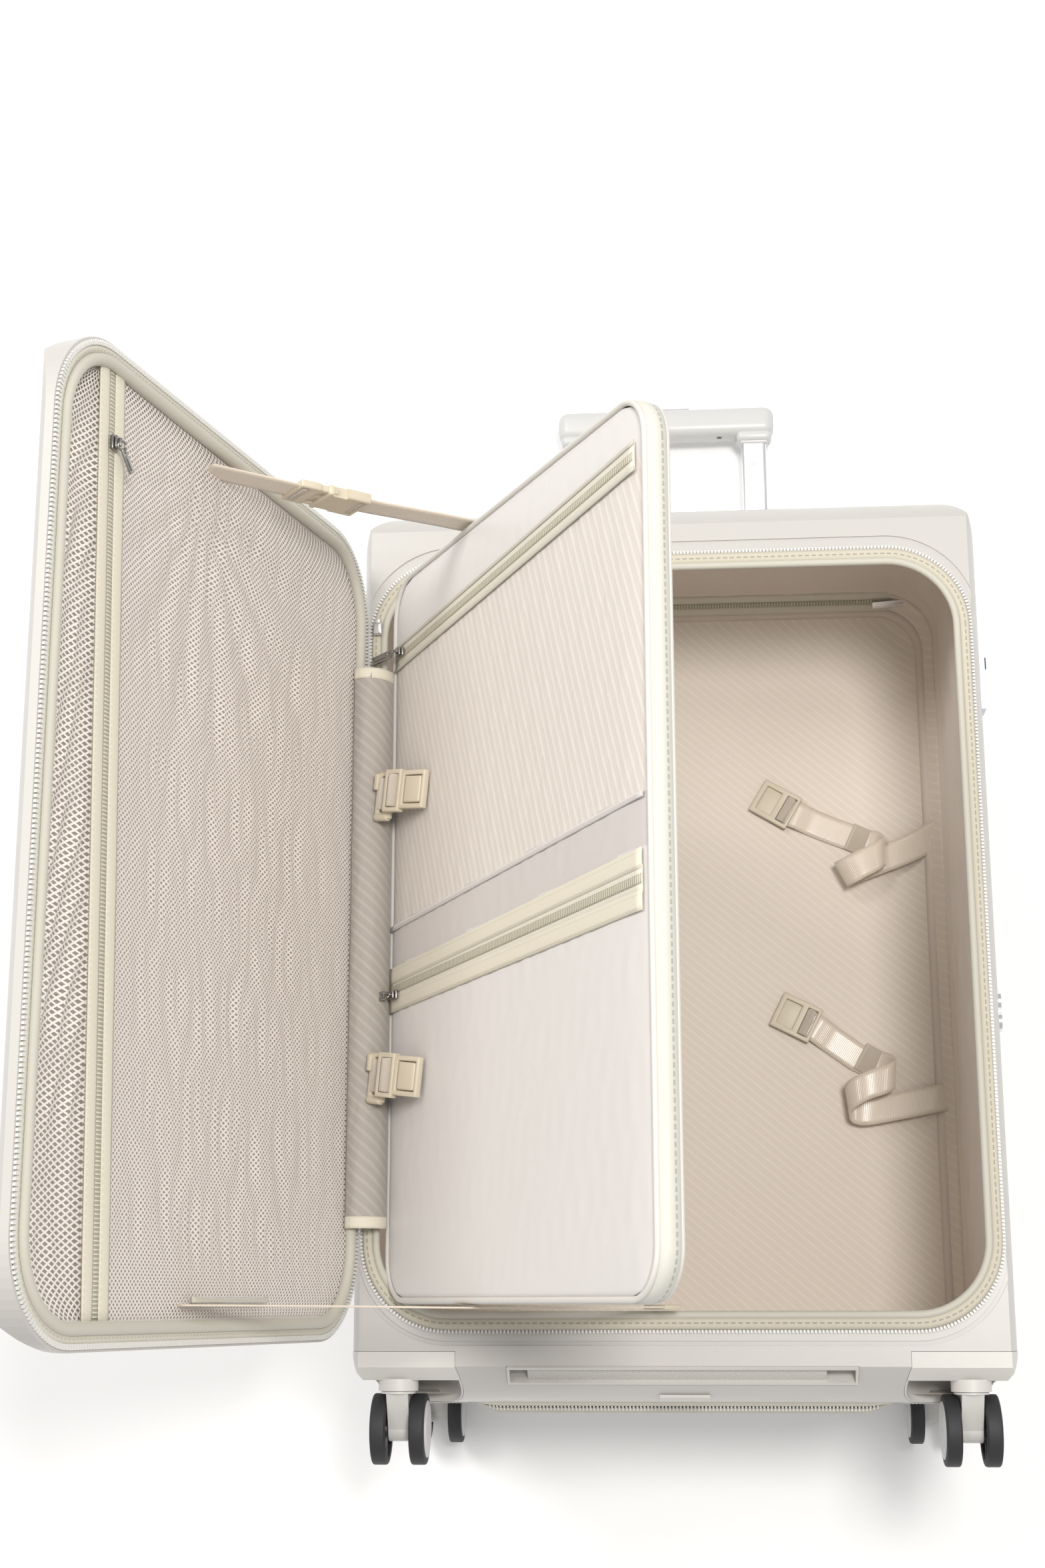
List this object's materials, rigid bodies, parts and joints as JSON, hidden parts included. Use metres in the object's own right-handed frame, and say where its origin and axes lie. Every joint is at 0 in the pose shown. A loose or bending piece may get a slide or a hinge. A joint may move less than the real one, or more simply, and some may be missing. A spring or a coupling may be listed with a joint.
{
  "type": "hard shell suitcase on wheels",
  "caption": "Large hard shell suitcase lying open on its back, with hinged lid tray, folding divider, telescopic handle, expansion zip and twin-wheel swivel casters.",
  "frame": {"origin": "middle of the flat back face the case lies on", "axes": "+X from the lid's hinge side to the lock side, +Y from the wheels to the telescopic handle, +Z out of the case's front"},
  "size_m": [0.6582, 0.9715, 0.8047],
  "materials": {
    "shell": "satin",
    "zip_tape": "woven",
    "lining": "woven with a diagonal stripe",
    "zip_metal": "dark nickel",
    "pull_metal": "polished",
    "piping": "stitched",
    "zip_white": "woven tape with white teeth",
    "tube": "satin anodised",
    "grip_plastic": "satin",
    "button_grey": "matt",
    "cup_plastic": "matt",
    "trim_plastic": "matt",
    "handle_rubber": "soft matt",
    "mesh": "open net",
    "divider_cloth": "smooth woven",
    "buckle_plastic": "moulded",
    "webbing": "satin webbing",
    "lock_metal": "satin",
    "lock_dark": "matt",
    "fork_plastic": "matt",
    "wheel": "matt rubber"
  },
  "bodies": {
    "case_back": {"rear_shell": "shell", "expansion_zip_rear": "zip_tape", "gusset": "lining", "rear_lining": "lining", "back_panel": "lining", "outer_tubes": "tube", "handle_cup": "cup_plastic", "carry_mounts": "trim_plastic", "side_feet": "trim_plastic", "strap_right_upper": "webbing", "strap_right_lower": "webbing", "buckle_right_upper": "buckle_plastic", "buckle_right_lower": "buckle_plastic", "caster_base_rear": "trim_plastic"},
    "front_ring_body": {"front_ring": "shell", "expansion_zip_front": "zip_tape", "front_lining": "lining", "rim_binding": "piping", "rim_zip": "zip_white", "base_fittings": "trim_plastic", "hinge_cover": "lining", "lock_case": "lock_metal", "caster_base_front": "trim_plastic"},
    "lid": {"lid_shell": "shell", "lid_binding": "piping", "lid_zip": "zip_white", "lid_mesh": "mesh", "check_straps": "webbing", "check_buckle": "buckle_plastic"},
    "divider_body": {"divider": "divider_cloth", "buckle_left_upper": "buckle_plastic", "buckle_left_lower": "buckle_plastic"},
    "handle_middle": {"mid_tubes": "tube"},
    "handle_inner": {"inner_tubes": "tube", "grip": "grip_plastic"},
    "handle_button": {"grip_button": "button_grey"},
    "carry_top": {"top_handle": "handle_rubber"},
    "carry_side": {"side_handle": "handle_rubber"},
    "back_slider": {"back_zip_slider": "zip_metal"},
    "lid_slider": {"lid_zip_slider": "zip_metal"},
    "divider_slider_up": {"divider_slider_upper": "zip_metal"},
    "divider_slider_low": {"divider_slider_lower": "zip_metal"},
    "expansion_pull_a": {"expansion_slider_a": "pull_metal"},
    "expansion_pull_b": {"expansion_slider_b": "pull_metal"},
    "lock_release": {"lock_button": "lock_dark"},
    "dial_1": {"lock_dial_1": "lock_dark"},
    "dial_2": {"lock_dial_2": "lock_dark"},
    "dial_3": {"lock_dial_3": "lock_dark"},
    "caster_fl": {"fork_fl": "fork_plastic"},
    "wheel_fl_out_body": {"wheel_fl_out": "wheel"},
    "wheel_fl_in_body": {"wheel_fl_in": "wheel"},
    "caster_fr": {"fork_fr": "fork_plastic"},
    "wheel_fr_out_body": {"wheel_fr_out": "wheel"},
    "wheel_fr_in_body": {"wheel_fr_in": "wheel"},
    "caster_rl": {"fork_rl": "fork_plastic"},
    "wheel_rl_out_body": {"wheel_rl_out": "wheel"},
    "wheel_rl_in_body": {"wheel_rl_in": "wheel"},
    "caster_rr": {"fork_rr": "fork_plastic"},
    "wheel_rr_out_body": {"wheel_rr_out": "wheel"},
    "wheel_rr_in_body": {"wheel_rr_in": "wheel"}
  },
  "joints": [
    {"name": "expansion", "type": "slide", "parent": "case_back", "child": "front_ring_body", "axis": [0, 0, 1], "range_m": [0, 0.035]},
    {"name": "lid_hinge", "type": "hinge", "parent": "front_ring_body", "child": "lid", "pos_m": [-0.2425, 0, 0.337], "axis": [0, 1, 0], "range_deg": [0, 104.7], "deforming": ["hinge_cover", "check_straps", "check_buckle"]},
    {"name": "divider_hinge", "type": "hinge", "parent": "front_ring_body", "child": "divider_body", "pos_m": [-0.2235, 0, 0.333], "axis": [0, 1, 0], "range_deg": [0, 60.7]},
    {"name": "handle_stage_1", "type": "slide", "parent": "case_back", "child": "handle_middle", "axis": [0, 1, 0], "range_m": [0, 0.13]},
    {"name": "handle_stage_2", "type": "slide", "parent": "handle_middle", "child": "handle_inner", "axis": [0, 1, 0], "range_m": [-0.195, 0]},
    {"name": "handle_release", "type": "slide", "parent": "handle_inner", "child": "handle_button", "axis": [0, -1, 0], "range_m": [0, 0.0015], "stiffness_N_per_m": 400},
    {"name": "top_handle_lift", "type": "slide", "parent": "case_back", "child": "carry_top", "axis": [0, 1, 0], "range_m": [0, 0.006], "stiffness_N_per_m": 300},
    {"name": "side_handle_lift", "type": "slide", "parent": "case_back", "child": "carry_side", "axis": [1, 0, 0], "range_m": [0, 0.006], "stiffness_N_per_m": 300},
    {"name": "back_zip", "type": "slide", "parent": "case_back", "child": "back_slider", "axis": [-1, 0, 0], "range_m": [0, 0.4]},
    {"name": "lid_net_zip", "type": "slide", "parent": "lid", "child": "lid_slider", "axis": [0.013, -0.9987, -0.0495], "range_m": [0, 0.48]},
    {"name": "divider_zip_upper", "type": "slide", "parent": "divider_body", "child": "divider_slider_up", "axis": [0.4887, 0.0523, 0.8709], "range_m": [0, 0.36]},
    {"name": "divider_zip_lower", "type": "slide", "parent": "divider_body", "child": "divider_slider_low", "axis": [0.4891, 0.0349, 0.8715], "range_m": [0, 0.36]},
    {"name": "expansion_zip_a", "type": "slide", "parent": "case_back", "child": "expansion_pull_a", "axis": [0, 1, 0], "range_m": [0, 0.18]},
    {"name": "expansion_zip_b", "type": "slide", "parent": "case_back", "child": "expansion_pull_b", "axis": [0, -1, 0], "range_m": [0, 0.19]},
    {"name": "lock_release_slide", "type": "slide", "parent": "front_ring_body", "child": "lock_release", "axis": [0, 1, 0], "range_m": [0, 0.003], "stiffness_N_per_m": 200},
    {"name": "lock_dial_1_turn", "type": "hinge", "parent": "front_ring_body", "child": "dial_1", "pos_m": [0.2534, 0.197, 0.284], "axis": [0, 1, 0], "continuous": true},
    {"name": "lock_dial_2_turn", "type": "hinge", "parent": "front_ring_body", "child": "dial_2", "pos_m": [0.2534, 0.205, 0.284], "axis": [0, 1, 0], "continuous": true},
    {"name": "lock_dial_3_turn", "type": "hinge", "parent": "front_ring_body", "child": "dial_3", "pos_m": [0.2534, 0.213, 0.284], "axis": [0, 1, 0], "continuous": true},
    {"name": "swivel_fl", "type": "hinge", "parent": "front_ring_body", "child": "caster_fl", "pos_m": [-0.215, -0.37, 0.315], "axis": [0, 1, 0], "continuous": true},
    {"name": "wheel_fl_out_spin", "type": "hinge", "parent": "caster_fl", "child": "wheel_fl_out_body", "pos_m": [-0.215, -0.3798, 0.301], "axis": [1, 0, 0], "continuous": true},
    {"name": "wheel_fl_in_spin", "type": "hinge", "parent": "caster_fl", "child": "wheel_fl_in_body", "pos_m": [-0.215, -0.3798, 0.301], "axis": [1, 0, 0], "continuous": true},
    {"name": "swivel_fr", "type": "hinge", "parent": "front_ring_body", "child": "caster_fr", "pos_m": [0.215, -0.37, 0.315], "axis": [0, 1, 0], "continuous": true},
    {"name": "wheel_fr_out_spin", "type": "hinge", "parent": "caster_fr", "child": "wheel_fr_out_body", "pos_m": [0.215, -0.3798, 0.301], "axis": [1, 0, 0], "continuous": true},
    {"name": "wheel_fr_in_spin", "type": "hinge", "parent": "caster_fr", "child": "wheel_fr_in_body", "pos_m": [0.215, -0.3798, 0.301], "axis": [1, 0, 0], "continuous": true},
    {"name": "swivel_rl", "type": "hinge", "parent": "case_back", "child": "caster_rl", "pos_m": [-0.215, -0.37, 0.051], "axis": [0, 1, 0], "continuous": true},
    {"name": "wheel_rl_out_spin", "type": "hinge", "parent": "caster_rl", "child": "wheel_rl_out_body", "pos_m": [-0.215, -0.3798, 0.037], "axis": [1, 0, 0], "continuous": true},
    {"name": "wheel_rl_in_spin", "type": "hinge", "parent": "caster_rl", "child": "wheel_rl_in_body", "pos_m": [-0.215, -0.3798, 0.037], "axis": [1, 0, 0], "continuous": true},
    {"name": "swivel_rr", "type": "hinge", "parent": "case_back", "child": "caster_rr", "pos_m": [0.215, -0.37, 0.051], "axis": [0, 1, 0], "continuous": true},
    {"name": "wheel_rr_out_spin", "type": "hinge", "parent": "caster_rr", "child": "wheel_rr_out_body", "pos_m": [0.215, -0.3798, 0.037], "axis": [1, 0, 0], "continuous": true},
    {"name": "wheel_rr_in_spin", "type": "hinge", "parent": "caster_rr", "child": "wheel_rr_in_body", "pos_m": [0.215, -0.3798, 0.037], "axis": [1, 0, 0], "continuous": true}
  ],
  "couplings": [
    {"joint": "divider_hinge", "follows": "lid_hinge", "ratio": 0.57974}
  ]
}
